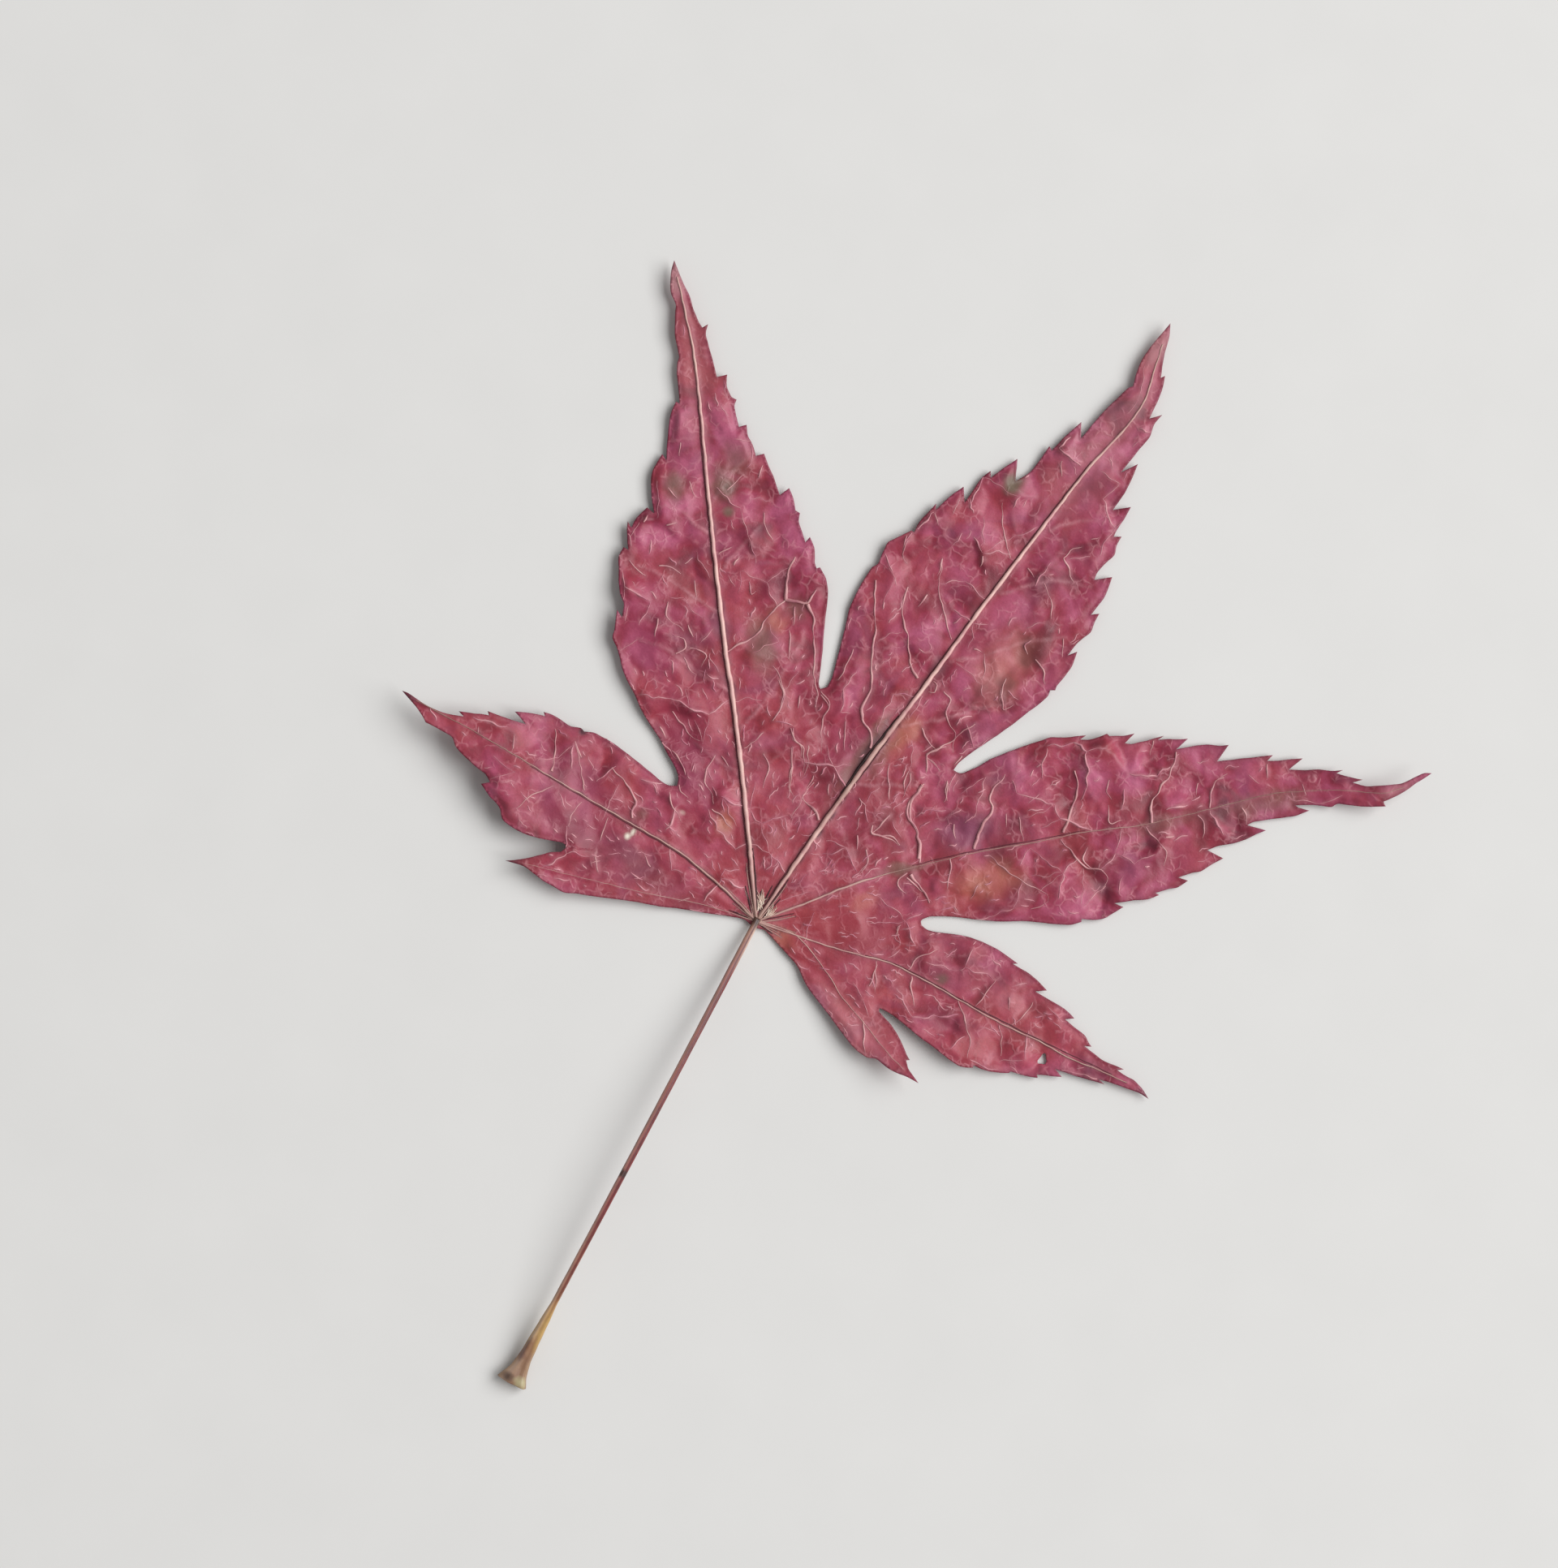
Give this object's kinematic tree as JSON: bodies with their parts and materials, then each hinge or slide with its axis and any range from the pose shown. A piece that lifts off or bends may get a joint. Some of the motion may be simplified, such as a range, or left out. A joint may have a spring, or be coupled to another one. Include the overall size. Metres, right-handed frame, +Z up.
{
  "type": "maple leaf",
  "caption": "Fallen red maple leaf with pointed, toothed lobes, raised ribs and a thin arched stalk, lying flat with its underside up.",
  "frame": {"origin": "on the surface that the leaf lies on, under the middle of the whole leaf's box", "axes": "+Y along the middle lobe, away from the stalk; +Z up, out of the ribbed face; +X to the right, seen from above with the middle lobe up"},
  "size_m": [0.0802, 0.1096, 0.0044],
  "materials": {
    "blade": "dry crimson leaf, matt with a faint waxy sheen",
    "stalk": "dry red-brown stalk, satin"
  },
  "bodies": {
    "root": {"leaf_blade": "blade", "leaf_stalk": "stalk"}
  },
  "joints": []
}
